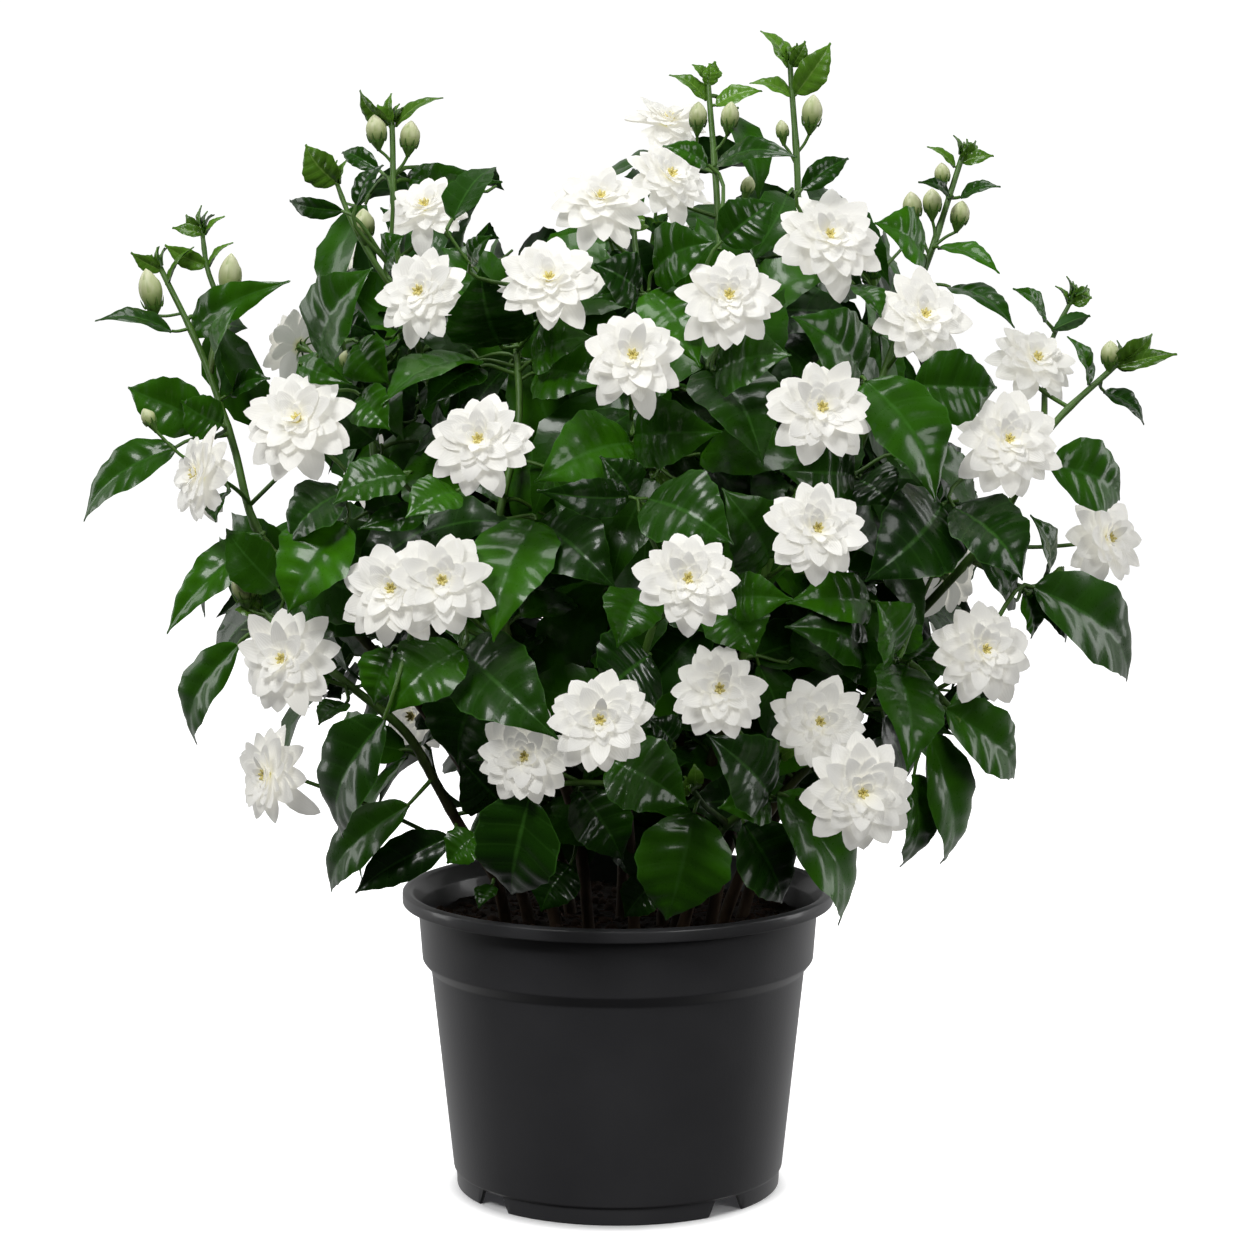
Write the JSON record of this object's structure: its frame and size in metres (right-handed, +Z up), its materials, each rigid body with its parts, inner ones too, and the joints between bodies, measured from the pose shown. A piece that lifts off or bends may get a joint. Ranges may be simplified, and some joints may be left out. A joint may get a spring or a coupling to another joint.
{
  "type": "potted jasmine",
  "caption": "Flowering double white jasmine shrub with glossy leaves, growing from soil in a round black nursery pot with a foot ring and drainage holes.",
  "frame": {"origin": "under the middle of the whole plant and pot, in the plane of the pot's foot ring", "axes": "+Z up from the foot ring through the plant, -Y towards the viewer of the plant's fuller side, +X to that viewer's right"},
  "size_m": [0.5116, 0.4172, 0.5669],
  "materials": {
    "pot_plastic": "satin",
    "soil": "matte",
    "foliage": "satin",
    "petals": "matte"
  },
  "bodies": {
    "root": {"bloom_01": "petals", "bloom_02": "petals", "bloom_03": "petals", "bloom_04": "petals", "bloom_05": "petals", "bloom_06": "petals", "bloom_07": "petals", "bloom_08": "petals", "bloom_09": "petals", "bloom_10": "petals", "bloom_11": "petals", "bloom_12": "petals", "bloom_13": "petals", "bloom_14": "petals", "bloom_15": "petals", "bloom_16": "petals", "bloom_17": "petals", "bloom_18": "petals", "bloom_19": "petals", "bloom_20": "petals", "bloom_21": "petals", "bloom_22": "petals", "bloom_23": "petals", "bloom_24": "petals", "bloom_25": "petals", "bloom_26": "petals", "bloom_27": "petals", "bloom_28": "petals", "bloom_29": "petals", "bloom_30": "petals", "bloom_31": "petals", "bloom_32": "petals", "bloom_33": "petals", "bloom_34": "petals", "bloom_35": "petals", "bloom_36": "petals", "bloom_37": "petals", "bloom_38": "petals", "bloom_39": "petals", "bloom_40": "petals", "bloom_twin": "petals", "leafy_stem_01": "foliage", "leafy_stem_02": "foliage", "leafy_stem_03": "foliage", "leafy_stem_04": "foliage", "leafy_stem_05": "foliage", "leafy_stem_06": "foliage", "leafy_stem_07": "foliage", "leafy_stem_08": "foliage", "leafy_stem_09": "foliage", "leafy_stem_10": "foliage", "leafy_stem_11": "foliage", "leafy_stem_12": "foliage", "leafy_stem_13": "foliage", "leafy_stem_14": "foliage", "leafy_stem_15": "foliage", "leafy_stem_16": "foliage", "leafy_stem_17": "foliage", "pot": "pot_plastic", "soil": "soil"}
  },
  "joints": []
}
